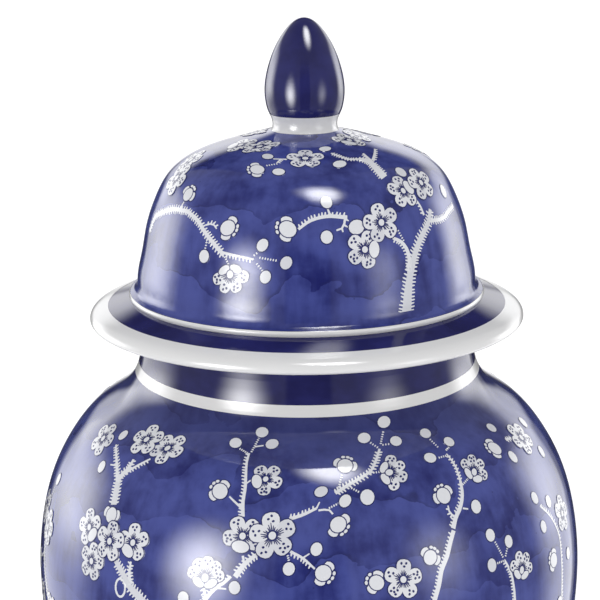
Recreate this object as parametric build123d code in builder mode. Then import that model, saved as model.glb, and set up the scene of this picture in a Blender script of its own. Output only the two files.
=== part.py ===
from build123d import *
import os

# Lidded porcelain ginger jar: a hollow vessel, a hat-shaped lid, a hollow bud finial and a locating ring.
# Millimetres, +Z up. The origin is the centre of the foot ring, on the surface that the jar stands on.
# Every piece is turned, so each one is a closed half outline, (radius, height), revolved about Z.

# Vessel
FOOT_R = 88.0
FOOT_HEIGHT = 11.0
FOOT_RING_WIDTH = 9.0
FOOT_CHAMFER = 1.6
FOOT_RECESS = 8.0
FOOT_DRAFT = 2.0
BASE_THICKNESS = 9.0
BELLY_R = 143.9
BELLY_Z = 170.0
WALL = 7.5
NECK_R = 87.1
NECK_BORE_R = 79.0
NECK_FLARE_TOP = 292.0
NECK_INNER_BOTTOM = 281.0
SEAT_Z = 301.0
RIM_ROUND = 1.8

# Outer line of the shoulder from the neck down to the belly, and of the lower wall down to the foot
SHOULDER = [(90.1, 275.3), (98.0, 265.2), (111.0, 256.0), (125.1, 240.3), (136.0, 219.0), (142.3, 192.5)]
LOWER_WALL = [(141.6, 138.0), (133.5, 104.0), (118.5, 66.0), (101.5, 33.0)]

# Lid
CROWN_Z = 400.3
CROWN_SLOPE = (0.97, -0.24)
DOME = [(40.2, 394.2), (58.1, 387.8), (70.1, 378.9), (77.2, 366.7), (82.3, 352.0), (85.1, 338.0)]
DOME_FOOT = (87.6, 324.0)
BEAD_R = 92.2
BEAD_TOP = 318.9
BEAD_ROUND = 1.7
BRIM_INNER = (91.3, 315.4)
BRIM_SHOULDER = (102.5, 311.3)
BRIM_NOSE = (112.5, 304.9)
BRIM_UNDER_R = 99.5
LID_WALL = 7.0
LEDGE_THICKNESS = 7.0

# Locating ring
RING_R = 77.0
RING_BORE_R = 70.5
RING_DEPTH = 14.0
RING_TAPER = 1.0
RING_ROUND = 2.0

# Finial
FINIAL_TOP = 457.0
FINIAL_FOOT_R = 17.3
COLLAR = [(16.5, 402.9), (16.9, 406.0), (18.7, 410.0), (19.9, 414.5)]
BUD = [(20.4, 419.5), (18.2, 433.5), (11.4, 448.3)]
FINIAL_WALL = 5.0
VENT_R = 7.0
VENT_TOP_Z = 404.5

DOWN = (0, -1)
INWARD = (-1, 0)
OUTWARD = (1, 0)


def smooth_line(points, first, last):
    """An even curve through points, leaving along first and arriving along last."""
    return Spline(points, tangents=[first, last], tangent_scalars=[1, 1])


def one_wall_inside(line, wall, shares):
    """Points a wall's thickness inside a line that runs downwards, at shares of its length."""
    points = []
    for share in shares:
        across = line.tangent_at(share).rotate(Axis.Z, -90)
        points.append(line.position_at(share) + across * wall)
    return points


def export(piece, name):
    """Labels a finished piece and writes its STEP file."""
    piece.part.label = name
    export_step(piece.part, f"parts/{name}.step")


os.makedirs("parts", exist_ok=True)

# The vessel: foot ring, lower wall, belly, shoulder and neck, one wall thick throughout.
foot_inner_r = FOOT_R - FOOT_RING_WIDTH
base_top = FOOT_RECESS + BASE_THICKNESS
with BuildPart() as jar_body:
    with BuildSketch(Plane.XZ) as vessel_outline:
        with BuildLine():
            shoulder = smooth_line([(NECK_R, NECK_FLARE_TOP), *SHOULDER, (BELLY_R, BELLY_Z)], DOWN, DOWN)
            lower_wall = smooth_line([(BELLY_R, BELLY_Z), *LOWER_WALL, (FOOT_R, FOOT_HEIGHT)], DOWN, DOWN)
            Polyline(
                (FOOT_R, FOOT_HEIGHT),
                (FOOT_R, FOOT_CHAMFER),
                (FOOT_R - FOOT_CHAMFER, 0),
                (foot_inner_r, 0),
                (foot_inner_r - FOOT_DRAFT, FOOT_RECESS),
                (0, FOOT_RECESS),
                (0, base_top),
            )
            upper_inside = one_wall_inside(shoulder, WALL, [0.3, 0.42, 0.55, 0.7, 0.85, 1.0])
            lower_inside = one_wall_inside(lower_wall, WALL, [0.2, 0.4, 0.6, 0.8])
            neck_inside = (NECK_BORE_R, NECK_INNER_BOTTOM)
            smooth_line([neck_inside, *upper_inside, *lower_inside, (0, base_top)], DOWN, INWARD)
            Polyline(
                neck_inside,
                (NECK_BORE_R, SEAT_Z),
                (NECK_R, SEAT_Z),
                (NECK_R, NECK_FLARE_TOP),
            )
        make_face()
        fillet(vessel_outline.vertices().group_by(Axis.Y)[-1], RIM_ROUND)
    revolve(axis=Axis.Z)
export(jar_body, "jar_body")

# The lid: tall dome, bead at the dome's foot, sloping brim with a thick rounded rim, and the ledge
# inside that carries the locating ring. The vent at the crown opens into the finial.
with BuildPart() as lid:
    with BuildSketch(Plane.XZ):
        with BuildLine():
            Line((VENT_R, CROWN_Z), (FINIAL_FOOT_R, CROWN_Z))
            dome = smooth_line([(FINIAL_FOOT_R, CROWN_Z), *DOME, DOME_FOOT], CROWN_SLOPE, DOWN)
            bead_start = (BEAD_R - BEAD_ROUND, BEAD_TOP)
            smooth_line([DOME_FOOT, bead_start], DOWN, OUTWARD)
            smooth_line([bead_start, (BEAD_R, BEAD_TOP - BEAD_ROUND), BRIM_INNER], OUTWARD, (-0.6, -0.8))
            smooth_line([BRIM_INNER, BRIM_SHOULDER, BRIM_NOSE], (0.94, -0.34), DOWN)
            nose_width = BRIM_NOSE[0] - BRIM_UNDER_R
            nose_depth = BRIM_NOSE[1] - SEAT_Z
            EllipticalCenterArc((BRIM_UNDER_R, BRIM_NOSE[1]), nose_width, nose_depth, 270, arc_size=90)
            Polyline(
                (BRIM_UNDER_R, SEAT_Z),
                (RING_BORE_R, SEAT_Z),
                (RING_BORE_R, SEAT_Z + LEDGE_THICKNESS),
            )
            dome_inside = one_wall_inside(dome, LID_WALL, [0.97, 0.8, 0.6, 0.4, 0.2])
            crown_inside = (VENT_R, CROWN_Z - LID_WALL)
            smooth_line([(RING_BORE_R, SEAT_Z + LEDGE_THICKNESS), *dome_inside, crown_inside], OUTWARD, INWARD)
            Line(crown_inside, (VENT_R, CROWN_Z))
        make_face()
    revolve(axis=Axis.Z)
export(lid, "lid")

# The locating ring: an upright flange under the lid that drops into the neck with a loose fit.
ring_bottom = SEAT_Z - RING_DEPTH
with BuildPart() as lid_locating_ring:
    with BuildSketch(Plane.XZ) as ring_outline:
        with BuildLine():
            Polyline(
                (RING_BORE_R, SEAT_Z),
                (RING_R, SEAT_Z),
                (RING_R - RING_TAPER, ring_bottom),
                (RING_BORE_R, ring_bottom),
                close=True,
            )
        make_face()
        fillet(ring_outline.vertices().group_by(Axis.Y)[0], RING_ROUND)
    revolve(axis=Axis.Z)
export(lid_locating_ring, "lid_locating_ring")

# The finial: a closed bud on a waisted collar, hollow, and vented through its foot into the dome.
with BuildPart() as finial:
    with BuildSketch(Plane.XZ):
        with BuildLine():
            Line((VENT_R, CROWN_Z), (FINIAL_FOOT_R, CROWN_Z))
            smooth_line([(FINIAL_FOOT_R, CROWN_Z), *COLLAR, *BUD, (0, FINIAL_TOP)], (-0.6, 0.8), INWARD)
            Line((0, FINIAL_TOP), (0, FINIAL_TOP - FINIAL_WALL))
            hollow = [(BUD[1][0] - FINIAL_WALL, BUD[1][1]), (BUD[0][0] - FINIAL_WALL, BUD[0][1])]
            smooth_line([(0, FINIAL_TOP - FINIAL_WALL), *hollow, (VENT_R, VENT_TOP_Z)], OUTWARD, DOWN)
            Line((VENT_R, VENT_TOP_Z), (VENT_R, CROWN_Z))
        make_face()
    revolve(axis=Axis.Z)
export(finial, "finial")
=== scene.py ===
"""Looks of the blue and white ginger jar: glaze, biscuit, painted plum blossom, studio and camera.

The CAD frame gives every shape. The blossom, its branches and the white bands are thin closed inlays
that follow the turned walls, so they stay sharp from any distance. Lengths on the ware are in
millimetres, and Blender's own units are metres.
"""

import math
import random
from collections import namedtuple

import bpy
import numpy as np
from mathutils import Matrix, Vector


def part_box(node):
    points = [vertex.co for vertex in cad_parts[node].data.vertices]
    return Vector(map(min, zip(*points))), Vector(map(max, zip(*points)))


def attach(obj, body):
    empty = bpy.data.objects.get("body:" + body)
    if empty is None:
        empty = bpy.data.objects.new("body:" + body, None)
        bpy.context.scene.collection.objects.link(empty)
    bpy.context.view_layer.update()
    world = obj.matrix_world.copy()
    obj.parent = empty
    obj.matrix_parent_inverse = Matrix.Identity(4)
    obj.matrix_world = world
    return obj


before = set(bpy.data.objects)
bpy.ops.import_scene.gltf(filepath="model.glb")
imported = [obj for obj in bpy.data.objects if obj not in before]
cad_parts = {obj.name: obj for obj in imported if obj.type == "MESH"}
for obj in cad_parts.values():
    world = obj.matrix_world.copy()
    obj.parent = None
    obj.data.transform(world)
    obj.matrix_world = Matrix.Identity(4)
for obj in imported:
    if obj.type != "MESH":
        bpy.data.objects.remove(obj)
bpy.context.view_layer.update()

MM = 0.001

# Where the lid rests on the neck, and where the finial stands on the lid
SEAT_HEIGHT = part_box("jar_body")[1][2] / MM
CROWN_HEIGHT = 400.3

# Painted zones: heights measured up from the foot, and the radius where the brim's white rim begins
NECK_LINE = (275.3, 280.8)
# Over these heights the cobalt below the neck line darkens upwards: painted shade from the lid's brim
NECK_SHADE_HEIGHTS = (250, 274)
FOOT_BAND = (12.0, 27.0)
FOOT_LINE_WIDTH = 3.0
COLLAR_TOP = 408.6
DOME_LINE_TOP = 318.3
RIM_START_R = 103.1

# Inlays: FIRST_LAYER is how far the lowest layer stands out of the glaze, LAYER_STEP how much further each
# later one does, and PART_LIFT the order of a motif's parts within a layer. ROOT_DEPTH is how far every
# inlay reaches into the wall.
FIRST_LAYER = 0.05
LAYER_STEP = 0.11
PART_LIFT = {"halo": 0.0, "white": 0.035, "mark": 0.07, "heart": 0.105}
BAND_LIFT = 0.07
ROOT_DEPTH = 0.3

# Bands: the distance between rows on a straight wall, the bend between rows, and the steps round the axis
BAND_STEP = 2.0
BAND_BEND = math.radians(9)
BAND_SEGMENTS = 240

# Places of the colours in PAINTS
WHITE, SOFT_WHITE, LINE, BAND = range(4)

chance = random.Random(11)


# ---------------------------------------------------------------- node helper


class Nodes:
    """Adds nodes to one node tree. add returns the node, and the recipes below feed return outputs."""

    def __init__(self, tree):
        self.tree = tree
        tree.nodes.clear()

    def add(self, kind, inputs=None, **settings):
        node = self.tree.nodes.new(kind)
        for name, value in settings.items():
            setattr(node, name, value)
        for name, value in (inputs or {}).items():
            self.feed(node.inputs[name], value)
        return node

    def feed(self, socket, value):
        if isinstance(value, bpy.types.NodeSocket):
            self.tree.links.new(value, socket)
        else:
            socket.default_value = value

    def math(self, operation, *values):
        node = self.add("ShaderNodeMath", operation=operation)
        for socket, value in zip(node.inputs, values):
            self.feed(socket, value)
        return node.outputs[0]

    def ramp(self, value, low, high, to_low=0.0, to_high=1.0):
        """A smooth step: to_low up to low, to_high from high on."""
        inputs = {"Value": value, "From Min": low, "From Max": high, "To Min": to_low, "To Max": to_high}
        return self.add("ShaderNodeMapRange", inputs, interpolation_type="SMOOTHSTEP").outputs[0]

    def blend(self, factor, first, second):
        """Colour first where factor is 0, second where it is 1."""
        node = self.add("ShaderNodeMix", data_type="RGBA")
        self.feed(node.inputs["Factor"], factor)
        self.feed(node.inputs[6], first)
        self.feed(node.inputs[7], second)
        return node.outputs[2]

    def blend_value(self, factor, first, second):
        """Value first where factor is 0, second where it is 1."""
        return self.add("ShaderNodeMix", {0: factor, 2: first, 3: second}).outputs[0]

    def split(self, vector):
        """The x, y and z of a vector."""
        return self.add("ShaderNodeSeparateXYZ", {0: vector}).outputs

    def noise(self, vector, detail=2.0, scale=1.0):
        inputs = {"Vector": vector, "Scale": scale, "Detail": detail}
        return self.add("ShaderNodeTexNoise", inputs).outputs["Fac"]

    def cell_distance(self, vector):
        """Distance to the nearest of the points scattered one to a cell."""
        return self.add("ShaderNodeTexVoronoi", {"Vector": vector, "Scale": 1.0}).outputs["Distance"]


# ---------------------------------------------------------------- turned walls


class TurnedLine:
    """The outer line of a turned CAD node, as distance along it, radius and height, all in mm.

    The line is read from the node's mesh: the vertices that face away from centre, a (radius,
    height) inside the wall's curve, in order of their direction from it. It is resampled at PER_MM
    places to the millimetre, and at FEWEST places or more.
    """

    PER_MM = 5
    FEWEST = 20

    def __init__(self, node, centre, first, last):
        points = self.read(node, "co") / MM
        normals = self.read(node, "normal")
        radius = np.hypot(points[:, 0], points[:, 1])
        outward = normals[:, 0] * points[:, 0] + normals[:, 1] * points[:, 1]
        outward /= np.maximum(radius, 1e-6)
        across, up = radius - centre[0], points[:, 2] - centre[1]
        direction = np.arctan2(up, across)
        begin, end = (math.atan2(z - centre[1], r - centre[0]) for r, z in (first, last))
        slack = 1e-4
        on_line = (outward * across + normals[:, 2] * up > 0.1 * np.hypot(across, up))
        on_line &= (direction <= begin + slack) & (direction >= end - slack)
        order = np.argsort(-direction[on_line])
        r, z = radius[on_line][order], points[on_line, 2][order]
        # Vertices of one row share a place on the line, so the repeats go before it is smoothed
        keep = np.concatenate([[True], np.hypot(np.diff(r), np.diff(z)) > 1e-3])
        r, z = r[keep], z[keep]
        length = np.concatenate([[0.0], np.cumsum(np.hypot(np.diff(r), np.diff(z)))])
        self.along = np.linspace(0.0, length[-1], max(int(length[-1] * self.PER_MM), self.FEWEST))
        self.radius = np.interp(self.along, length, r)
        self.height = np.interp(self.along, length, z)
        slope_r = self.smooth(np.gradient(self.radius, self.along))
        slope_z = self.smooth(np.gradient(self.height, self.along))
        size = np.hypot(slope_r, slope_z)
        self.normal_r = -slope_z / size
        self.normal_z = slope_r / size

    def read(self, node, attribute):
        """A vector attribute of a CAD node's vertices, one row each."""
        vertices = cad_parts[node].data.vertices
        values = np.empty(len(vertices) * 3)
        vertices.foreach_get(attribute, values)
        return values.reshape(-1, 3)

    def smooth(self, slope):
        """The mean of each five neighbours."""
        return np.convolve(np.pad(slope, 2, mode="edge"), np.ones(5) / 5, "valid")

    def rows(self, start, end):
        """Distances from start to end, closer together round a bend than on a straight wall."""
        bend = np.abs(np.diff(np.unwrap(np.arctan2(self.normal_z, self.normal_r))))
        pace = self.along / BAND_STEP + np.concatenate([[0.0], np.cumsum(bend)]) / BAND_BEND
        first, last = np.interp([start, end], self.along, pace)
        places = np.linspace(first, last, max(int(math.ceil(last - first)), 1) + 1)
        return np.interp(places, pace, self.along)

    def length_at_height(self, height):
        return float(np.interp(-height, -self.height, self.along))

    def radius_at(self, along):
        return np.interp(along, self.along, self.radius)

    def place(self, degrees, along, lift):
        """Points in metres and their normals, at azimuths from the front, lifted off the wall."""
        turn = np.radians(degrees)
        normal_r = np.interp(along, self.along, self.normal_r)
        normal_z = np.interp(along, self.along, self.normal_z)
        radius = self.radius_at(along) + lift * normal_r
        height = np.interp(along, self.along, self.height) + lift * normal_z
        points = np.stack([radius * np.sin(turn), -radius * np.cos(turn), height], -1) * MM
        normals = np.stack([normal_r * np.sin(turn), -normal_r * np.cos(turn), normal_z], -1)
        return points, normals


def heading(degrees):
    """Unit vector in a patch's flat drawing: 0 is up the wall, 90 to the right."""
    turn = math.radians(degrees)
    return np.array([math.sin(turn), math.cos(turn)])


def headings(path):
    """Unit vectors along a path, one for each of its points."""
    ahead = np.gradient(path, axis=0)
    return ahead / np.linalg.norm(ahead, axis=1)[:, None]


class Inlays:
    """Thin closed plates that follow one turned line, gathered for one object."""

    def __init__(self, line):
        self.line = line
        self.points = []
        self.normals = []
        self.faces = []
        self.colours = []
        self.count = 0

    def vertices(self, degrees, along, lift):
        points, normals = self.line.place(degrees, along, lift)
        self.points.append(points)
        self.normals.append(normals)
        first = self.count
        self.count += len(points)
        return first

    def add_faces(self, faces, colour):
        self.faces.extend(faces)
        self.colours.extend([colour] * len(faces))

    def band(self, start, end):
        """A closed ring round the ware between two distances along the line."""
        places = self.line.rows(start, end)
        rows = len(places)
        along = np.repeat(places, BAND_SEGMENTS)
        degrees = np.tile(np.arange(BAND_SEGMENTS) * 360.0 / BAND_SEGMENTS, rows)
        top = self.vertices(degrees, along, BAND_LIFT)
        root = self.vertices(degrees, along, -ROOT_DEPTH)
        last = (rows - 1) * BAND_SEGMENTS
        faces = []
        for i in range(BAND_SEGMENTS):
            j = (i + 1) % BAND_SEGMENTS
            for row in range(rows - 1):
                a, b = row * BAND_SEGMENTS, (row + 1) * BAND_SEGMENTS
                faces.append((top + b + i, top + b + j, top + a + j, top + a + i))
                faces.append((root + a + i, root + a + j, root + b + j, root + b + i))
            faces.append((top + i, top + j, root + j, root + i))
            faces.append((root + last + i, root + last + j, top + last + j, top + last + i))
        self.add_faces(faces, BAND)

    def build(self, name, body, materials):
        mesh = bpy.data.meshes.new(name)
        mesh.from_pydata(np.concatenate(self.points).tolist(), [], self.faces)
        for material in materials:
            mesh.materials.append(material)
        mesh.polygons.foreach_set("material_index", self.colours)
        mesh.polygons.foreach_set("use_smooth", [True] * len(self.faces))
        mesh.normals_split_custom_set_from_vertices(np.concatenate(self.normals).tolist())
        piece = bpy.data.objects.new(name, mesh)
        bpy.context.scene.collection.objects.link(piece)
        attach(piece, body)


class Patch:
    """A place on the wall where a spray is drawn flat, in mm, x to the right and y up the wall."""

    def __init__(self, inlays, degrees, along):
        self.inlays = inlays
        self.degrees = degrees
        self.along = along

    def vertices(self, xy, lift):
        """Vertices at places in the drawing, lifted off the wall."""
        x, y = xy[:, 0], xy[:, 1]
        along = self.along - y
        degrees = self.degrees + np.degrees(x / self.inlays.line.radius_at(along))
        return self.inlays.vertices(degrees, along, lift)

    def plate(self, outline, middle, level, part, colour, ringed=False):
        """A plate with this outline, fanned from middle, with a ring of faces between them if ringed."""
        outline = np.asarray(outline, float)
        middle = np.asarray(middle, float)
        n = len(outline)
        lift = FIRST_LAYER + level * LAYER_STEP + PART_LIFT[part]
        top_rows = [outline, middle + (outline - middle) * 0.5] if ringed else [outline]
        tops = [self.vertices(row, lift) for row in top_rows]
        heart = self.vertices(middle[None], lift)
        root = self.vertices(outline, -ROOT_DEPTH)
        faces = [tuple(range(root + n - 1, root - 1, -1))]
        for i in range(n):
            j = (i + 1) % n
            for outer, inner in zip(tops, tops[1:]):
                faces.append((outer + i, outer + j, inner + j, inner + i))
            faces.append((tops[-1] + i, tops[-1] + j, heart))
            faces.append((root + i, root + j, tops[0] + j, tops[0] + i))
        self.inlays.add_faces(faces, colour)

    def strip(self, path, widths, level, part, colour):
        """A plate of changing width along a path."""
        path = np.asarray(path, float)
        ahead = headings(path)
        side = np.stack([ahead[:, 1], -ahead[:, 0]], -1) * np.asarray(widths, float)[:, None] / 2
        right_edge, left_edge = path + side, path - side
        lift = FIRST_LAYER + level * LAYER_STEP + PART_LIFT[part]
        right, middle, left = (self.vertices(row, lift) for row in (right_edge, path, left_edge))
        low_right, low_left = (self.vertices(row, -ROOT_DEPTH) for row in (right_edge, left_edge))
        faces = []
        for i in range(len(path) - 1):
            j = i + 1
            faces.append((right + i, right + j, middle + j, middle + i))
            faces.append((middle + i, middle + j, left + j, left + i))
            faces.append((low_right + i, low_right + j, right + j, right + i))
            faces.append((left + i, left + j, low_left + j, low_left + i))
            faces.append((low_left + i, low_left + j, low_right + j, low_right + i))
        end = len(path) - 1
        faces.append((low_right, right, middle, left, low_left))
        faces.append((low_left + end, left + end, middle + end, right + end, low_right + end))
        self.inlays.add_faces(faces, colour)


# ---------------------------------------------------------------- painted motifs

# Width in mm of the dark line round a white shape
HALO = 0.5

# Stamens of one petal: lean from its middle in degrees and reach as a share of its radius, and the width
# of the painted stroke at its start, middle and end
STAMENS = [(-25, 0.38), (-13, 0.47), (0, 0.52), (13, 0.46), (25, 0.39)]
STAMEN_WIDTHS = [0.50, 0.52, 0.34]

# Dots of one petal: how far out and how far aside, as shares of its radius
DOT_PATTERNS = [
    [(0.60, -0.10), (0.63, 0.12), (0.77, -0.02), (0.84, 0.14), (0.82, -0.15)],
    [(0.64, 0.02), (0.79, -0.13), (0.80, 0.12)],
    [(0.62, -0.13), (0.66, 0.08), (0.80, -0.06), (0.79, 0.15)],
    [(0.60, 0.10), (0.72, -0.10), (0.84, 0.05)],
]


def oval(x, y, long, short, facing, points=16):
    """Outline of an ellipse whose long half-axis points along facing."""
    ahead = heading(facing)
    side = heading(facing + 90)
    turns = np.arange(points) * 2 * math.pi / points
    return np.array([(x, y) + ahead * long * math.sin(t) + side * short * math.cos(t) for t in turns])


def grown(outline, by):
    """The outline pushed outwards along its own normals."""
    before, after = np.roll(outline, 1, axis=0), np.roll(outline, -1, axis=0)
    run = after - before
    outward = np.stack([run[:, 1], -run[:, 0]], -1)
    return outline + by * outward / np.linalg.norm(outward, axis=1)[:, None]


def haloed(patch, outline, middle, level, colour=WHITE, ringed=False):
    """A white shape with the thin dark line that the painters left round it."""
    patch.plate(grown(outline, HALO), middle, level, "halo", LINE, ringed)
    patch.plate(outline, middle, level, "white", colour, ringed)


def petal(patch, x, y, radius, facing, level, root=0.10, broad=0.38):
    """One rounded petal from the heart at x, y, with its stamens and dots."""
    ahead = heading(facing)
    side = heading(facing + 90)
    share = np.linspace(0, 1, 9)
    reach = radius * (root + (1 - root) * (1 - np.cos(math.pi * share)) / 2)
    spread = radius * broad * np.sin(math.pi * share**1.25) ** 0.85
    right = [(x, y) + ahead * r + side * s for r, s in zip(reach, spread)]
    left = [(x, y) + ahead * r - side * s for r, s in zip(reach[-2:0:-1], spread[-2:0:-1])]
    outline = np.array(right + left)
    middle = np.array((x, y)) + ahead * radius * 0.62
    haloed(patch, outline, middle, level, chance.choice((WHITE, WHITE, SOFT_WHITE)), ringed=True)
    for lean, length in STAMENS:
        ray = heading(facing + lean + chance.uniform(-2, 2))
        start, end = radius * 0.20, radius * length * chance.uniform(0.9, 1.08)
        line = [(x, y) + ray * r for r in (start, (start + end) / 2, end)]
        patch.strip(line, STAMEN_WIDTHS, level, "mark", LINE)
    for forward, aside in chance.choice(DOT_PATTERNS):
        dot = (x, y) + ahead * radius * forward + side * radius * aside
        patch.plate(oval(*dot, 0.70, 0.58, chance.uniform(0, 180), 8), dot, level, "mark", LINE)


def heart(patch, x, y, radius, level):
    """The disc in a dark ring at the middle of a blossom."""
    patch.plate(oval(x, y, radius * 0.245, radius * 0.245, 0, 14), (x, y), level, "mark", LINE)
    patch.plate(oval(x, y, radius * 0.17, radius * 0.16, 0, 14), (x, y), level, "heart", WHITE)


def blossom(patch, x, y, radius, facing, level=1, plain=None):
    """A blossom of five petals. Petal number plain, if any, is a plain oval that lies over the rest."""
    for number in range(5):
        if number != plain:
            petal(patch, x, y, radius, facing + 72 * number, level)
    heart(patch, x, y, radius, level)
    if plain is not None:
        direction = facing + 72 * plain
        spot = (x, y) + heading(direction) * radius * 0.52
        outline = oval(*spot, radius * 0.44, radius * 0.29, direction + 90)
        haloed(patch, outline, spot, level + 1, ringed=True)


def half_blossom(patch, x, y, radius, facing, level=1, petals=4):
    """A blossom seen from the side: a fan of petals over two plain sepals, its heart at x, y."""
    for number in range(petals):
        lean = -76 + 152 * number / (petals - 1)
        petal(patch, x, y, radius * chance.uniform(0.94, 1.02), facing + lean, level, 0.18, 0.30)
    for turn in (-1, 1):
        spot = (x, y) + heading(facing + turn * 127) * radius * 0.40
        haloed(patch, oval(*spot, radius * 0.33, radius * 0.19, facing + turn * 60), spot, level + 0.5)
    haloed(patch, oval(x, y, radius * 0.20, radius * 0.17, facing, 12), (x, y), level + 1)


def bud(patch, x, y, facing=0.0, size=3.1, level=1):
    """A plain round bud."""
    outline = oval(x, y, size, size * chance.uniform(0.84, 0.93), facing, 14)
    haloed(patch, outline, (x, y), level, chance.choice((WHITE, SOFT_WHITE)))


def buds(patch, *places):
    """Plain buds, each given as x, y and, if need be, its facing and size."""
    for place in places:
        bud(patch, *place)


def calyx_bud(patch, x, y, facing, size=3.9, level=1, bumps=3):
    """A swelling bud: a disc between two crescent sepals, with small bumps at its far end."""
    middle = np.array((x, y))
    for turn in (-1, 1):
        share = np.linspace(-1, 1, 7)
        bend = [heading(facing + turn * 78 + 40 * s) for s in share]
        inner = [middle + b * (size + 0.1) for b in bend]
        outer = [middle + b * (size + 0.2 + 1.9 * math.sqrt(1 - s * s)) for b, s in zip(bend, share)]
        outline = np.array(inner + outer[-2:0:-1])
        haloed(patch, outline, middle + heading(facing + turn * 78) * (size + 1.0), level)
    for number in range(bumps):
        lean = 24 * (number - (bumps - 1) / 2) + chance.uniform(-3, 3)
        spot = middle + heading(facing + lean) * (size + 1.3)
        haloed(patch, oval(*spot, 1.0, 0.75, facing + lean + 90, 8), spot, level)
    haloed(patch, oval(x, y, size, size * 0.95, facing), middle, level + 0.5, ringed=True)


def smooth_path(points, step=2.5):
    """An even curve through the points, as points about step apart, with their share of its length."""
    points = np.asarray(points, float)
    knots = np.concatenate([[0], np.cumsum(np.linalg.norm(np.diff(points, axis=0), axis=1))])
    slopes = np.gradient(points, knots, axis=0)
    count = max(int(round(knots[-1] / step)), 2)
    places = np.linspace(0, knots[-1], count + 1)
    span = np.clip(np.searchsorted(knots, places, side="right") - 1, 0, len(knots) - 2)
    width = (knots[span + 1] - knots[span])[:, None]
    t = ((places - knots[span])[:, None]) / width
    start, end = points[span], points[span + 1]
    leave, arrive = slopes[span] * width, slopes[span + 1] * width
    path = (2 * t**3 - 3 * t**2 + 1) * start + (t**3 - 2 * t**2 + t) * leave
    path += (-2 * t**3 + 3 * t**2) * end + (t**3 - t**2) * arrive
    return path, places / knots[-1]


def branch(patch, points, start=1.6, end=0.9, teeth="both", level=0.0, reach=1.3, pitch=1.75):
    """A branch with short bark strokes like a comb's teeth along one edge or both."""
    path, share = smooth_path(points)
    widths = start + (end - start) * share
    patch.strip(path, widths, level, "white", SOFT_WHITE if start > 3 else WHITE)
    fine, fine_share = smooth_path(points, step=0.25)
    ahead = headings(fine)
    length = np.linalg.norm(np.diff(fine, axis=0), axis=1).sum()
    sides = {"both": (-1, 1), "left": (-1,), "right": (1,), "none": ()}[teeth]
    for side in sides:
        place = chance.uniform(0.3, 0.9) * pitch
        while place < length - 0.4 * pitch:
            i = min(int(place / length * (len(fine) - 1)), len(fine) - 1)
            forward = ahead[i]
            out = np.array([forward[1], -forward[0]]) * side
            half = (start + (end - start) * fine_share[i]) / 2
            foot = fine[i] + out * (half - 0.3)
            tip = foot + out * (reach * chance.uniform(0.8, 1.15) + 0.3) + forward * 0.45
            patch.strip([foot, (foot + tip) / 2, tip], [0.95, 0.85, 0.5], level - 0.1, "white", WHITE)
            place += pitch * chance.uniform(0.85, 1.15)


def dashes(patch, start, end):
    """A twig painted as a row of short dashes."""
    start, end = np.array(start, float), np.array(end, float)
    count = max(int(round(np.linalg.norm(end - start) / 1.25)), 1)
    run = (end - start) / count
    facing = math.degrees(math.atan2(run[0], run[1]))
    for number in range(count + 1):
        spot = start + run * number
        patch.plate(oval(*spot, 0.62, 0.36, facing + 90, 8), spot, 0.3, "white", WHITE)


# ---------------------------------------------------------------- sprays
# Each spray is drawn in mm from its own root, x to the right and y up the wall.


def lid_left_spray(patch):
    branch(patch, [(-39, -17), (-36, -9), (-28, -5), (-16, -1), (-3, 0)], 2.6, 1.9)
    branch(patch, [(-4, 0), (6, -4), (11, -8), (18, -13), (25, -18)], 1.8, 2.0)
    branch(patch, [(24, -17), (33, -18), (41, -19)], 1.4, 1.0, "right")
    branch(patch, [(-10, 0), (-9, 4)], 1.2, 0.7, "none")
    branch(patch, [(11, -5), (15, -4), (18, -6)], 0.9, 0.7, "left")
    dashes(patch, (44, -18), (52, -19))
    dashes(patch, (41, -17), (43, -15))
    dashes(patch, (43, -21), (46, -24))
    dashes(patch, (14, -12), (14, -16))
    dashes(patch, (26, -19), (29, -23))
    blossom(patch, -27, 14, 9.5, 20, 2)
    blossom(patch, -32, 26, 8.8, -10, 1)
    calyx_bud(patch, -8, 8, 20, 3.4)
    calyx_bud(patch, 24, -5, 100, 3.9)
    buds(patch, (57, -20), (44, -12), (48, -27), (14, -20, 0, 3.2))
    half_blossom(patch, 30, -27, 9.8, 170, 1)


def lid_top_spray(patch):
    branch(patch, [(-9, -1), (-16, -1)], 1.2, 0.8, "none")
    branch(patch, [(-12, -1), (-14, -5)], 1.0, 0.7, "left", pitch=1.5)
    dashes(patch, (-14, -6), (-19, -8))
    branch(patch, [(13, 5), (17, 1), (22, -3), (29, -4)], 0.9, 1.4, "both", reach=1.0)
    branch(patch, [(28, -4), (33, -7), (37, -14), (41, -21)], 2.6, 4.2)
    branch(patch, [(36, -7), (41, 3)], 2.2, 1.6, "right")
    branch(patch, [(35, -8), (31, 1)], 1.8, 1.2, "left")
    blossom(patch, 0, 0, 9.4, 0)
    calyx_bud(patch, -24, -12, -100, 3.8)
    buds(patch, (-19, 1, 80), (-13, -13, 80), (10, 10, 90), (17, -7, 90, 3.5))


def lid_crest_blossoms(patch):
    blossom(patch, 0, 0, 8.6, 15, 1, plain=3)
    blossom(patch, 13, 2, 8.2, -30, 2)


def lid_centre_spray(patch):
    branch(patch, [(-24, -4), (-18, 0), (-10, 2), (0, 1)], 1.2, 2.0, "left")
    branch(patch, [(-8, 2), (-9, 6)], 1.3, 0.8, "none")
    branch(patch, [(-1, 1), (-3, -4), (-6, -5)], 1.2, 0.8, "left", pitch=2.4)
    calyx_bud(patch, -29, -4, -80, 4.1)
    buds(patch, (-9, 9), (-11, -8, 20, 3.2), (4, -4, 70, 4.0))
    blossom(patch, 17, -3, 9.6, -10, 3)
    blossom(patch, 7, -15, 9.2, -50, 2, plain=2)


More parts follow.
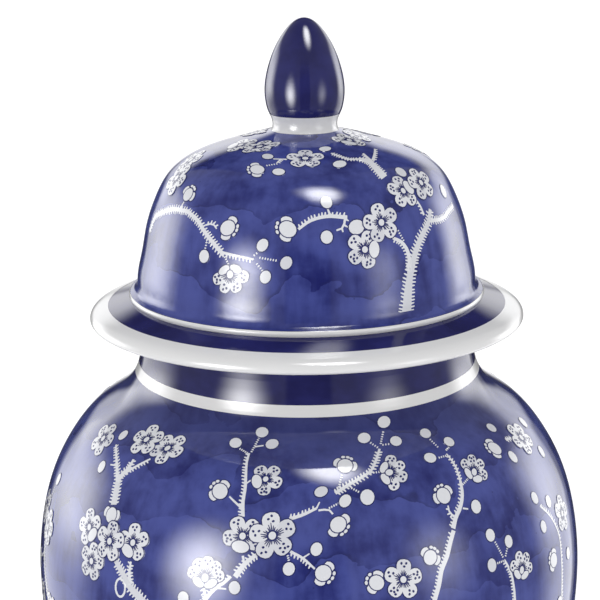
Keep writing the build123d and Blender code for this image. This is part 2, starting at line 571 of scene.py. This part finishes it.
def lid_trunk_spray(patch):
    branch(patch, [(-2, -7), (-1, 0), (1, 7), (3, 13)], 5.6, 3.4, reach=1.9)
    branch(patch, [(2, 12), (3, 19), (2, 24), (-1, 28), (-5, 30)], 2.6, 1.4, "left")
    branch(patch, [(3, 12), (6, 19), (10, 25), (15, 30), (20, 34), (24, 40)], 3.6, 2.2, reach=1.7)
    branch(patch, [(21, 35), (27, 34), (34, 34), (42, 36), (50, 37)], 1.8, 1.6)
    branch(patch, [(18, 38), (17, 43), (15, 47)], 1.3, 0.8, "left")
    dashes(patch, (1, 28), (-1, 33))
    blossom(patch, 24, 54, 9.2, -5, 3)
    blossom(patch, 9, 52, 9.0, -70, 1, plain=2)
    buds(patch, (15, 63, -20, 3.4), (43, 46, 0, 3.4))


def jar_twin_branch(patch):
    branch(patch, [(0, 0), (-2, 7), (-4, 12)], 4.0, 3.2, reach=1.6)
    branch(patch, [(-4, 11), (-8, 16), (-13, 21), (-20, 27)], 2.2, 0.9)
    branch(patch, [(-10, 18), (-15, 17)], 1.0, 0.7, "none")
    branch(patch, [(-4, 11), (-3, 15), (-1, 19), (-1, 24)], 3.0, 1.4)
    branch(patch, [(-2, 16), (4, 22), (9, 27)], 1.5, 1.0, "right")
    blossom(patch, -34, 26, 9.4, 10)
    blossom(patch, -2, 36, 9.6, -15, 2)
    blossom(patch, 14, 35, 9.4, 25, 1)
    buds(patch, (-21, 14), (-20, 33, 15))
    calyx_bud(patch, 1, -5, 0, 3.8, bumps=0)
    blossom(patch, -13, -15, 9.2, -20, 1, plain=2)
    blossom(patch, 5, -17, 9.8, 0, 4)
    blossom(patch, 20, -14, 9.4, -10, 2, plain=3)
    blossom(patch, -6, -30, 9.4, 5, 2)


def jar_knot_trunk(patch):
    branch(patch, [(8, -8), (0, 0), (-7, 4), (-12, 9), (-18, 14)], 4.4, 2.6, reach=1.6)
    branch(patch, [(-7, 5), (-8, 10), (-8, 16)], 2.2, 1.0)
    turns = np.linspace(0, 2 * math.pi, 17)
    knot = [(-13 + 3.2 * math.sin(t), 2 + 4.4 * math.cos(t)) for t in turns]
    patch.strip(knot, [1.1] * len(knot), 0.3, "white", WHITE)
    half_blossom(patch, 34, 16, 10.0, 0, 1, petals=5)
    branch(patch, [(34, 11), (36, 5), (38, -1)], 1.4, 1.8, "right")
    bud(patch, 24, 5)


def jar_tall_twig(patch):
    branch(patch, [(0, 0), (-1, 7), (-1, 14), (-2, 21), (-3, 28), (-3, 33)], 1.8, 1.0, "left")
    dashes(patch, (-2, 34), (0, 42))
    dashes(patch, (-4, 33), (-8, 35))
    branch(patch, [(-1, 37), (3, 38)], 0.9, 0.6, "none")
    branch(patch, [(-8, 9), (-4, 6), (-1, 4)], 0.8, 1.2, "none")
    branch(patch, [(1, 18), (-2, 15)], 0.8, 0.6, "none")
    buds(patch, (1, 45, 90), (-11, 38, 90), (7, 39, 70))
    calyx_bud(patch, -13, 11, -50, 3.9)
    blossom(patch, 8, 19, 8.2, -38, 1, plain=4)
    blossom(patch, 1, -9, 9.6, -30, 1, plain=3)
    blossom(patch, 15, -8, 11.0, -12, 3)
    branch(patch, [(22, 0), (28, 2), (34, 5)], 1.8, 1.2, "left")
    branch(patch, [(34, 5), (35, 8)], 0.9, 0.6, "none")
    branch(patch, [(35, 4), (40, 4), (42, 2)], 1.0, 0.8, "none")
    dashes(patch, (40, 5), (44, 7))
    buds(patch, (35, 13, 80), (47, 8))
    calyx_bud(patch, 45, -3, 130, 3.8)
    branch(patch, [(24, -15), (30, -18), (36, -23)], 1.3, 0.9, "right")
    branch(patch, [(30, -18), (33, -16)], 0.9, 0.6, "none")
    bud(patch, 36, -14)
    calyx_bud(patch, 40, -25, 120, 3.8)
    dashes(patch, (23, -17), (24, -20))
    bud(patch, 24, -23)
    branch(patch, [(10, -16), (6, -19), (3, -22), (-1, -28)], 1.6, 2.6)
    branch(patch, [(2, -18), (3, -22)], 1.2, 1.0, "none")
    branch(patch, [(-3, -28), (-6, -31), (-10, -34), (-15, -40), (-20, -50)], 1.4, 2.4, "right")
    branch(patch, [(-9, -34), (-5, -34)], 1.0, 0.7, "none")
    bud(patch, -1, -33)


def jar_climbing_branch(patch):
    branch(patch, [(0, 0), (7, 4), (13, 7), (18, 10), (21, 15), (24, 22)], 1.6, 1.2, "both")
    dashes(patch, (25, 25), (27, 31))
    dashes(patch, (23, 23), (20, 26))
    dashes(patch, (26, 24), (29, 24))
    dashes(patch, (18, 9), (22, 9))
    dashes(patch, (8, 2), (11, 0))
    dashes(patch, (2, 3), (4, 9))
    buds(patch, (28, 36, 90, 3.4), (17, 29, 90, 3.2), (33, 25, 120, 3.2), (15, -3, 0, 3.8))
    half_blossom(patch, 27, 8, 9.6, 90, 1)
    calyx_bud(patch, 6, 14, 20, 3.8)


def jar_long_branch(patch):
    branch(patch, [(-4, -10), (0, 0), (3, 7), (5, 13), (9, 19), (12, 25), (15, 30)], 2.4, 2.2, "left")
    branch(patch, [(15, 31), (18, 36), (21, 39), (25, 46), (26, 52)], 2.4, 1.6, "left")
    branch(patch, [(26, 52), (26, 60), (24, 67)], 1.1, 0.8, "both", reach=0.9)
    dashes(patch, (21, 72), (19, 77))
    dashes(patch, (25, 69), (27, 70))
    dashes(patch, (23, 66), (19, 66))
    dashes(patch, (27, 50), (31, 52))
    branch(patch, [(18, 35), (15, 39), (15, 42)], 1.0, 0.8, "left")
    branch(patch, [(23, 39), (26, 38)], 0.9, 0.7, "none")
    branch(patch, [(6, 14), (3, 17)], 1.1, 0.8, "none")
    buds(patch, (18, 81, 100), (29, 73, 130), (14, 67, 100, 3.3), (31, 38, 0, 3.3))
    calyx_bud(patch, 14, 47, -20, 3.9)
    calyx_bud(patch, 0, 20, 40, 3.5)
    half_blossom(patch, 36, 54, 9.4, 40, 1)
    blossom(patch, -15, 12, 9.4, 10, 2)
    calyx_bud(patch, -28, 12, -60, 3.6)


def jar_side_cluster(patch):
    branch(patch, [(-14, 4), (-8, 3)], 1.6, 1.2, "both", reach=1.0)
    blossom(patch, 0, 0, 9.4, -20, 2)
    calyx_bud(patch, -27, 3, -70, 3.9)
    buds(patch, (-15, 13, 60), (-19, -5, 0, 3.3), (16, 4), (12, -13))


def jar_drooping_twig(patch):
    branch(patch, [(-9, -95), (-9, -80), (-7, -65), (-6, -52), (-11, -41), (-18, -33)], 1.3, 1.0, "right")
    buds(patch, (-20, -28), (-8, -34, 20), (-21, -43), (4, -66))
    calyx_bud(patch, -17, -62, -60, 3.8)
    blossom(patch, 5, -45, 9.4, 15, 1)


def jar_edge_blossoms(patch):
    branch(patch, [(7, -36), (3, -27), (-2, -18), (-3, -8)], 2.2, 1.4)
    dashes(patch, (-3, -15), (-11, -20))
    dashes(patch, (-8, 9), (-7, 19))
    blossom(patch, 0, 0, 9.4, 10, 2)
    blossom(patch, -14, 6, 9.0, -30, 1, plain=2)
    blossom(patch, 14, -40, 9.2, 40, 1)
    half_blossom(patch, -4, -40, 9.0, -60, 2)
    calyx_bud(patch, -15, -23, -60)
    bud(patch, -6, 24, 15)


def jar_short_twig(patch):
    branch(patch, [(0, -8), (0, 0), (-1, 8), (-4, 15)], 1.6, 1.1, "left")
    dashes(patch, (-5, 17), (-8, 25))
    dashes(patch, (-4, 15), (-9, 15))
    dashes(patch, (-3, 17), (-1, 20))
    buds(patch, (-10, 29), (1, 23), (-13, 15, 0, 3.3))
    half_blossom(patch, 7, 7, 9.4, 20, 1)


# Each row: what is drawn, the azimuth of its root in degrees, counted from the front to the right, and the
# root's distance down the wall in mm: on the lid from the crown, on the jar from the neck line.
LID_SPRAYS = [
    (lid_left_spray, -46, 70),
    (lid_top_spray, 0, 28.5),
    (lid_crest_blossoms, -62, 20),
    (lid_crest_blossoms, 50, 12),
    (lid_centre_spray, 15, 70),
    (lid_trunk_spray, 34.5, 111),
]
UPPER_JAR_SPRAYS = [
    (jar_twin_branch, -46.5, 60),
    (jar_knot_trunk, -34.5, 99),
    (jar_tall_twig, -14, 53),
    (jar_climbing_branch, 6, 41),
    (jar_long_branch, 24.5, 96),
    (jar_side_cluster, 66, 38),
    (jar_drooping_twig, 66, 38),
    (jar_edge_blossoms, -72, 91),
    (jar_short_twig, 44, 102),
]
LOWER_JAR_SPRAYS = [
    (jar_tall_twig, -51, 176),
    (jar_twin_branch, -4, 165),
    (jar_climbing_branch, 14, 150),
    (jar_long_branch, 54, 205),
    (jar_side_cluster, -15, 218),
    (jar_short_twig, 22, 205),
    (jar_climbing_branch, -84, 215),
    (jar_side_cluster, 80, 235),
]


# ---------------------------------------------------------------- materials

COBALT_PALE = (0.062, 0.080, 0.312, 1)
COBALT_DEEP = (0.009, 0.012, 0.120, 1)
# Dark cobalt of the lap lines and specks, also used for the painted shade below the neck
COBALT_LAP_AND_SHADE = (0.012, 0.014, 0.085, 1)
NAVY = (0.019, 0.020, 0.122, 1)
NAVY_DEEP = (0.012, 0.012, 0.082, 1)
LINE_BLUE = (0.020, 0.026, 0.130, 1)
PETAL_WHITE = (0.76, 0.77, 0.81, 1)
PETAL_SOFT = (0.68, 0.69, 0.74, 1)
PORCELAIN = (0.79, 0.79, 0.795, 1)
PORCELAIN_SHADE = (0.70, 0.705, 0.72, 1)
BISCUIT = (0.74, 0.70, 0.60, 1)
BISCUIT_STAINED = (0.62, 0.54, 0.42, 1)
GLAZE_ROUGHNESS = 0.06
GLAZE_IOR = 1.52
CLAY_ROUGHNESS = 0.62

# Height of one wash of cobalt
WASH_HEIGHT = 30

# Heights of the points on the axis that the outer walls of the jar and the lid face away from
BELLY_HEIGHT = 170.0
LID_CENTRE_HEIGHT = 300.0

# The navy of the brim lies outside this radius and below this height
BRIM_START_R = 89.0
BRIM_TOP = 318.5

# Widths of the bare clay at the neck's rim, the foot ring's face and the lid's underside
BARE_RIM = 1.6
BARE_FOOT = 1.7
BARE_UNDERSIDE = 0.8


def new_material(name):
    material = bpy.data.materials.new(name)
    material.use_nodes = True
    return material, Nodes(material.node_tree)


def surface(nodes, **inputs):
    """Ends a material in one Principled shader with these inputs, spaces written as underscores."""
    shader = nodes.add("ShaderNodeBsdfPrincipled")
    for name, value in inputs.items():
        nodes.feed(shader.inputs[name.replace("_", " ")], value)
    nodes.add("ShaderNodeOutputMaterial", {"Surface": shader.outputs[0]})


class Ware:
    """Where a point of a turned piece lies, in mm, and which way it faces, as sockets."""

    def __init__(self, nodes):
        self.nodes = nodes
        place = nodes.add("ShaderNodeTexCoord").outputs["Object"]
        inputs = {0: place, 1: (1 / MM,) * 3}
        self.place = nodes.add("ShaderNodeVectorMath", inputs, operation="MULTIPLY").outputs[0]
        self.x, self.y, self.z = nodes.split(self.place)

    def times_xy(self, x, y):
        """x times the place's own x, plus y times its y."""
        first = self.nodes.math("MULTIPLY", x, self.x)
        second = self.nodes.math("MULTIPLY", y, self.y)
        return self.nodes.math("ADD", first, second)

    def radius(self):
        return self.nodes.math("SQRT", self.times_xy(self.x, self.y))

    def normal(self):
        return self.nodes.split(self.nodes.add("ShaderNodeNewGeometry").outputs["Normal"])

    def above(self, height):
        return self.nodes.math("GREATER_THAN", self.z, height)

    def below(self, height):
        return self.nodes.math("LESS_THAN", self.z, height)

    def outside(self, centre_height):
        """1 where the surface faces away from the point at centre_height on the axis, else 0."""
        nx, ny, nz = self.normal()
        up = self.nodes.math("MULTIPLY", nz, self.nodes.math("SUBTRACT", self.z, centre_height))
        return self.nodes.math("GREATER_THAN", self.nodes.math("ADD", self.times_xy(nx, ny), up), 0.0)

    def cells(self, width, height):
        """The place divided into cells this wide and high."""
        inputs = {0: self.place, 1: (1 / width, 1 / width, 1 / height)}
        return self.nodes.add("ShaderNodeVectorMath", inputs, operation="MULTIPLY").outputs[0]

    def noise(self, width, height, detail=2.0):
        """Noise whose blotches are about this wide and high."""
        return self.nodes.noise(self.cells(width, height), detail)


def cobalt_ground(nodes, ware):
    """Brushed cobalt: washes with scalloped lower edges, each ending in a thin dark lap line."""
    scallop = nodes.cell_distance(ware.cells(30, 50))
    height = nodes.math("MULTIPLY_ADD", scallop, 0.5, nodes.math("MULTIPLY", ware.z, 1 / WASH_HEIGHT))
    height = nodes.math("MULTIPLY_ADD", ware.noise(70, 50), 2.6, height)
    height = nodes.math("MULTIPLY_ADD", ware.noise(11, 9, 3.0), 0.32, height)
    wash = nodes.math("FRACT", height)
    cloud = ware.noise(26, 17, 5.0)
    streak = ware.noise(5, 40, 3.0)
    tone = nodes.math("MULTIPLY_ADD", nodes.ramp(wash, 0.0, 0.6), 0.16, cloud)
    tone = nodes.math("MULTIPLY_ADD", streak, 0.45, tone)
    colour = nodes.blend(nodes.ramp(tone, 0.46, 1.07), COBALT_DEEP, COBALT_PALE)
    shown = nodes.ramp(ware.noise(24, 16), 0.44, 0.62)
    line = nodes.math("MULTIPLY", nodes.ramp(wash, 0.0, 0.06, 1.0, 0.0), shown)
    colour = nodes.blend(nodes.math("MULTIPLY", line, 0.6), colour, COBALT_LAP_AND_SHADE)
    speck = nodes.ramp(nodes.cell_distance(ware.cells(13, 13)), 0.02, 0.05, 0.5, 0.0)
    return nodes.blend(speck, colour, COBALT_LAP_AND_SHADE)


def navy_band(nodes, ware):
    return nodes.blend(nodes.ramp(ware.noise(18, 12, 3.0), 0.3, 0.7), NAVY_DEEP, NAVY)


def white_glaze(nodes, ware):
    return nodes.blend(nodes.ramp(ware.noise(35, 22, 3.0), 0.3, 0.75), PORCELAIN_SHADE, PORCELAIN)


def bare_clay(nodes, ware):
    return nodes.blend(nodes.ramp(ware.noise(9, 9, 5.0), 0.35, 0.8), BISCUIT, BISCUIT_STAINED)


def glaze_ripple(nodes, ware):
    """The slow unevenness of a thick glaze."""
    inputs = {"Height": ware.noise(30, 30, 1.0), "Strength": 0.12, "Distance": 0.0012}
    return nodes.add("ShaderNodeBump", inputs).outputs[0]


def plain_glaze(name, colour):
    """One plain painted colour, its edges sharp, under the same uneven glaze."""
    material, nodes = new_material(name)
    ware = Ware(nodes)
    surface(
        nodes,
        Base_Color=colour,
        Roughness=nodes.ramp(ware.noise(14, 14), 0.3, 0.7, 0.05, 0.08),
        Normal=glaze_ripple(nodes, ware),
        IOR=GLAZE_IOR,
    )
    material.diffuse_color = colour
    return material


def clay_or_glaze(nodes, ware, colour, clay):
    """Glazed colour, or bare clay where clay is 1."""
    surface(
        nodes,
        Base_Color=nodes.blend(clay, colour, bare_clay(nodes, ware)),
        Roughness=nodes.math("MULTIPLY_ADD", clay, CLAY_ROUGHNESS - GLAZE_ROUGHNESS, GLAZE_ROUGHNESS),
        Normal=glaze_ripple(nodes, ware),
        IOR=GLAZE_IOR,
    )


def jar_material():
    """Cobalt with painted shade from the lid's brim, darker towards the neck, between navy at the neck and
    foot, and white glaze inside.
    """
    material, nodes = new_material("painted_jar_glaze")
    ware = Ware(nodes)
    colour = cobalt_ground(nodes, ware)
    # Painted shade from the lid's brim: the cobalt darkens towards the neck line
    colour = nodes.blend(nodes.ramp(ware.z, *NECK_SHADE_HEIGHTS, 0.0, 0.6), colour, COBALT_LAP_AND_SHADE)
    navy = nodes.math("MAXIMUM", ware.above(sum(NECK_LINE) / 2), ware.below(FOOT_BAND[1]))
    colour = nodes.blend(navy, colour, navy_band(nodes, ware))
    inside = nodes.math("SUBTRACT", 1.0, ware.outside(BELLY_HEIGHT))
    white = nodes.math("MAXIMUM", inside, ware.below(FOOT_BAND[0]))
    colour = nodes.blend(white, colour, white_glaze(nodes, ware))
    bare = nodes.math("MAXIMUM", ware.above(SEAT_HEIGHT - BARE_RIM), ware.below(BARE_FOOT))
    clay_or_glaze(nodes, ware, colour, bare)
    return material


def lid_material():
    """Cobalt on the dome, navy on the brim, white glaze inside and bare clay where the lid rests."""
    material, nodes = new_material("painted_lid_glaze")
    ware = Ware(nodes)
    wide = nodes.math("GREATER_THAN", ware.radius(), BRIM_START_R)
    brim = nodes.math("MULTIPLY", wide, ware.below(BRIM_TOP))
    colour = nodes.blend(brim, cobalt_ground(nodes, ware), navy_band(nodes, ware))
    colour = nodes.blend(ware.outside(LID_CENTRE_HEIGHT), white_glaze(nodes, ware), colour)
    facing_down = nodes.math("LESS_THAN", ware.normal()[2], -0.3)
    bare = nodes.math("MULTIPLY", ware.below(SEAT_HEIGHT + BARE_UNDERSIDE), facing_down)
    clay_or_glaze(nodes, ware, colour, bare)
    return material


def finial_material():
    """Navy, and bare clay where the finial is luted to the dome."""
    material, nodes = new_material("painted_finial_glaze")
    ware = Ware(nodes)
    clay_or_glaze(nodes, ware, navy_band(nodes, ware), ware.below(CROWN_HEIGHT + 0.1))
    return material


def clay_material():
    material, nodes = new_material("bare_clay")
    ware = Ware(nodes)
    inputs = {"Height": ware.noise(0.8, 0.8), "Strength": 0.3, "Distance": 0.0002}
    grain = nodes.add("ShaderNodeBump", inputs).outputs[0]
    surface(nodes, Base_Color=bare_clay(nodes, ware), Roughness=CLAY_ROUGHNESS, Normal=grain)
    return material


def paint_node(name, material):
    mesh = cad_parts[name].data
    mesh.materials.clear()
    mesh.materials.append(material)


paint_node("jar_body", jar_material())
paint_node("lid", lid_material())
paint_node("finial", finial_material())
paint_node("lid_locating_ring", clay_material())

# ---------------------------------------------------------------- decoration

PAINTS = [
    plain_glaze("resist_white", PETAL_WHITE),
    plain_glaze("resist_white_soft", PETAL_SOFT),
    plain_glaze("painted_outline_blue", LINE_BLUE),
    plain_glaze("band_white", PORCELAIN),
]

# The walls that carry paint, each from its first place to its last, as (radius, height)
dome_line = TurnedLine("lid", centre=(0.0, 330.0), first=(17.3, CROWN_HEIGHT), last=(87.6, 323.0))
bead_line = TurnedLine("lid", centre=(80.0, 314.0), first=(90.4, 319.4), last=(91.3, 315.4))
brim_line = TurnedLine("lid", centre=(98.0, 304.0), first=(96.0, 313.9), last=(100.0, SEAT_HEIGHT))
jar_line = TurnedLine("jar_body", centre=(0.0, BELLY_HEIGHT), first=(87.1, 292.0), last=(88.0, 11.0))
collar_line = TurnedLine("finial", centre=(0.0, 404.0), first=(18.2, 409.0), last=(17.3, CROWN_HEIGHT))
neck_top, neck_bottom = (jar_line.length_at_height(height) for height in reversed(NECK_LINE))


def white_band(name, line, start, end, body):
    inlays = Inlays(line)
    inlays.band(start, end)
    inlays.build(name, body, PAINTS)


def paint_sprays(name, line, sprays, zero, body, first_turn):
    """One object with these sprays, the whole set turned round the ware by first_turn degrees."""
    inlays = Inlays(line)
    for draw, degrees, along in sprays:
        draw(Patch(inlays, degrees + first_turn, along + zero))
    inlays.build(name, body, PAINTS)


def paint_bands():
    """The white lines and rims, from the dome's foot and the brim to the collar, the neck and the foot."""
    line_start = bead_line.length_at_height(DOME_LINE_TOP)
    white_band("dome_foot_line", bead_line, line_start, bead_line.along[-1], "lid")
    rim_start = brim_line.along[np.argmax(brim_line.radius > RIM_START_R)]
    white_band("brim_rim", brim_line, rim_start, brim_line.along[-1], "lid")
    collar_start = collar_line.length_at_height(COLLAR_TOP)
    white_band("finial_collar", collar_line, collar_start, collar_line.along[-1], "lid")
    white_band("neck_line", jar_line, neck_top, neck_bottom, "jar")
    for number, height in enumerate(FOOT_BAND, 1):
        middle = jar_line.length_at_height(height)
        half = FOOT_LINE_WIDTH / 2
        white_band(f"foot_line_{number}", jar_line, middle - half, middle + half, "jar")


paint_bands()
for number, turn in enumerate((0, 180), 1):
    paint_sprays(f"lid_blossom_{number}", dome_line, LID_SPRAYS, 0.0, "lid", turn)
    paint_sprays(f"jar_blossom_upper_{number}", jar_line, UPPER_JAR_SPRAYS, neck_bottom, "jar", turn)
    paint_sprays(f"jar_blossom_lower_{number}", jar_line, LOWER_JAR_SPRAYS, neck_bottom, "jar", turn)

# ---------------------------------------------------------------- studio

# A side diffuser that the glaze mirrors: side is -1 for the left and 1 for the right. Its light begins, is
# full, starts to fade and ends at these azimuths in degrees from the front.
Diffuser = namedtuple("Diffuser", "side begin full fade end strength low_strength")
DIFFUSERS = [
    Diffuser(side=-1, begin=92, full=116, fade=147, end=151, strength=5.0, low_strength=1.1),
    Diffuser(side=1, begin=104, full=123, fade=144, end=149, strength=4.2, low_strength=1.6),
]

# What the glaze mirrors elsewhere, the even light on its colours, and what the camera sees behind it
FRONT_LIGHT = 0.42
FRONT_GAP = (-12.0, 14.0)
FRONT_GAP_SHARE = 0.72
BACK_LIGHT = 1.75
TOP_LIGHT = 0.24
AMBIENT = 0.88
LEFT_TO_RIGHT = -0.09
BACKDROP = 1.0

# A soft light: its place in metres, the half width and half height at which it has faded to a third, the
# share of them over which it stays full, and its strength
Softbox = namedtuple("Softbox", "name place half_width half_height full strength")
SOFTBOXES = [
    Softbox("left_softbox", (-0.455, -0.532, 0.33), 0.15, 0.21, full=0.0, strength=17.0),
    Softbox("right_softbox", (0.55, -0.45, 0.33), 0.14, 0.18, full=0.0, strength=3.8),
    Softbox("overhead_softbox", (0.085, -0.20, 0.88), 0.098, 0.145, full=0.26, strength=19.5),
]
SOFTBOX_AIM = (0.0, 0.0, 0.32)
SOFTBOX_FALLOFF = 1.6

FLOOR_RADIUS = 7.0
FLOOR_GLOW = 0.35

# The camera's place in metres, its tilts in radians and its lens in mm
CAMERA_PLACE = (0.0, -0.911, 0.5429)
CAMERA_PITCH = 0.2499
CAMERA_ROLL = -0.00956
CAMERA_LENS = 108
CAMERA_SHIFT = -0.011


def front_light(nodes, azimuth, elevation):
    """Even grey light in front, with a dark gap where the camera stands."""
    middle = sum(FRONT_GAP) / 2
    half = FRONT_GAP[1] - middle
    off_middle = nodes.math("ABSOLUTE", nodes.math("SUBTRACT", azimuth, middle))
    gap = nodes.ramp(off_middle, half, half + 4.0, 1.0, 0.0)
    gap = nodes.math("MULTIPLY", gap, nodes.ramp(elevation, 14, 40, 1.0, 0.0))
    light = nodes.math("MULTIPLY_ADD", gap, -FRONT_LIGHT * FRONT_GAP_SHARE, FRONT_LIGHT)
    off_front = nodes.math("ABSOLUTE", azimuth)
    return nodes.math("MULTIPLY", light, nodes.ramp(off_front, 150, 154, 1.0, 0.1))


def back_light(nodes, azimuth, elevation):
    """The white backdrop, which reaches down to the table, and its wings, which stop above it."""
    off_front = nodes.math("ABSOLUTE", azimuth)
    wings = nodes.math("MULTIPLY", nodes.ramp(off_front, 130, 150), nodes.ramp(elevation, -1, 6))
    light = nodes.math("MAXIMUM", wings, nodes.ramp(off_front, 165, 172))
    return nodes.math("MULTIPLY", light, nodes.ramp(elevation, 0, 14, 0.62, 1.0))


def side_light(nodes, azimuth, elevation, diffuser):
    """One diffuser: brightest at its front edge and at eye level, and dim low down."""
    away = nodes.math("MULTIPLY", azimuth, float(diffuser.side))
    begun = nodes.ramp(away, diffuser.begin, diffuser.full)
    window = nodes.math("MULTIPLY", begun, nodes.ramp(away, diffuser.fade, diffuser.end, 1.0, 0.0))
    far_strength = 0.22 * diffuser.strength
    high = nodes.ramp(away, diffuser.full, diffuser.end, diffuser.strength, far_strength)
    high = nodes.math("MULTIPLY", high, nodes.ramp(elevation, 6, 26, 1.0, 0.15))
    glow = nodes.blend_value(nodes.ramp(elevation, -18, -1), diffuser.low_strength, high)
    return nodes.math("MULTIPLY", window, glow)


def build_world():
    """The studio. The glaze mirrors its lights, and an even room lights the glaze's own colours."""
    world = bpy.data.worlds.new("studio")
    bpy.context.scene.world = world
    world.use_nodes = True
    world.cycles.sampling_method = "NONE"
    nodes = Nodes(world.node_tree)
    x, y, z = nodes.split(nodes.add("ShaderNodeTexCoord").outputs["Generated"])
    azimuth = nodes.math("DEGREES", nodes.math("ARCTAN2", x, nodes.math("MULTIPLY", y, -1.0)))
    elevation = nodes.math("DEGREES", nodes.math("ARCSINE", z))

    top_end = nodes.ramp(elevation, 17, 26, 1.0, 0.0)
    behind = nodes.math("MULTIPLY", back_light(nodes, azimuth, elevation), top_end)
    mirrored = nodes.math("MULTIPLY_ADD", behind, BACK_LIGHT, front_light(nodes, azimuth, elevation))
    mirrored = nodes.blend_value(nodes.ramp(elevation, 25, 70), mirrored, TOP_LIGHT)
    for diffuser in DIFFUSERS:
        glow = side_light(nodes, azimuth, elevation, diffuser)
        mirrored = nodes.math("MULTIPLY_ADD", glow, top_end, mirrored)

    rays = nodes.add("ShaderNodeLightPath").outputs
    room = nodes.math("MULTIPLY_ADD", x, LEFT_TO_RIGHT, AMBIENT)
    light = nodes.blend_value(rays["Is Diffuse Ray"], mirrored, room)
    light = nodes.blend_value(rays["Is Camera Ray"], light, BACKDROP)
    background = nodes.add("ShaderNodeBackground", {"Color": (1, 1, 1, 1), "Strength": light})
    nodes.add("ShaderNodeOutputWorld", {"Surface": background.outputs[0]})


def softbox_material(settings):
    """Light that fades from the middle of the plane to its edge and lets what is behind it through."""
    material, nodes = new_material(settings.name)
    place = nodes.add("ShaderNodeTexCoord").outputs["Object"]
    away = nodes.add("ShaderNodeVectorMath", {0: place}, operation="LENGTH").outputs["Value"]
    glow = nodes.ramp(away, 0.5 * settings.full, 1.0 - 0.5 * settings.full, 1.0, 0.0)
    glow = nodes.math("MULTIPLY", nodes.math("POWER", glow, SOFTBOX_FALLOFF), settings.strength)
    emission = nodes.add("ShaderNodeEmission", {"Color": (1, 1, 1, 1), "Strength": glow})
    clear = nodes.add("ShaderNodeBsdfTransparent")
    both = nodes.add("ShaderNodeAddShader", {0: emission.outputs[0], 1: clear.outputs[0]})
    nodes.add("ShaderNodeOutputMaterial", {"Surface": both.outputs[0]})
    return material


def build_softbox(settings):
    """A soft-edged light facing the lid's foot. Only the glaze's mirror shows it."""
    bpy.ops.mesh.primitive_plane_add(size=2.0)
    softbox = bpy.context.active_object
    softbox.name = settings.name
    aim = Vector(SOFTBOX_AIM) - Vector(settings.place)
    softbox.rotation_euler = aim.to_track_quat("Z", "Y").to_euler()
    softbox.location = settings.place
    softbox.scale = (2.0 * settings.half_width, 2.0 * settings.half_height, 1.0)
    softbox.data.materials.append(softbox_material(settings))
    softbox.visible_camera = False
    softbox.visible_diffuse = False
    softbox.visible_shadow = False


def build_floor():
    """A white table top, bright enough to melt into the backdrop and left out of the glaze's mirror."""
    bpy.ops.mesh.primitive_circle_add(vertices=128, radius=FLOOR_RADIUS, fill_type="NGON")
    floor = bpy.context.active_object
    floor.name = "studio_floor"
    material, nodes = new_material("studio_floor_paint")
    grain = nodes.noise(nodes.add("ShaderNodeTexCoord").outputs["Object"], scale=3.0)
    surface(
        nodes,
        Base_Color=nodes.blend(grain, (0.90, 0.90, 0.90, 1), (0.93, 0.93, 0.93, 1)),
        Roughness=0.8,
        Emission_Color=(1, 1, 1, 1),
        Emission_Strength=FLOOR_GLOW,
    )
    floor.data.materials.append(material)
    floor.visible_glossy = False


def build_camera():
    camera = bpy.data.cameras.new("camera")
    camera.lens = CAMERA_LENS
    camera.sensor_width = 36
    camera.shift_x = CAMERA_SHIFT
    holder = bpy.data.objects.new("camera", camera)
    bpy.context.scene.collection.objects.link(holder)
    tilt = Matrix.Rotation(math.pi / 2 - CAMERA_PITCH, 4, "X") @ Matrix.Rotation(CAMERA_ROLL, 4, "Z")
    holder.matrix_world = Matrix.Translation(CAMERA_PLACE) @ tilt
    bpy.context.scene.camera = holder


build_world()
for softbox_settings in SOFTBOXES:
    build_softbox(softbox_settings)
build_floor()
build_camera()
bpy.context.scene.view_settings.view_transform = "Standard"
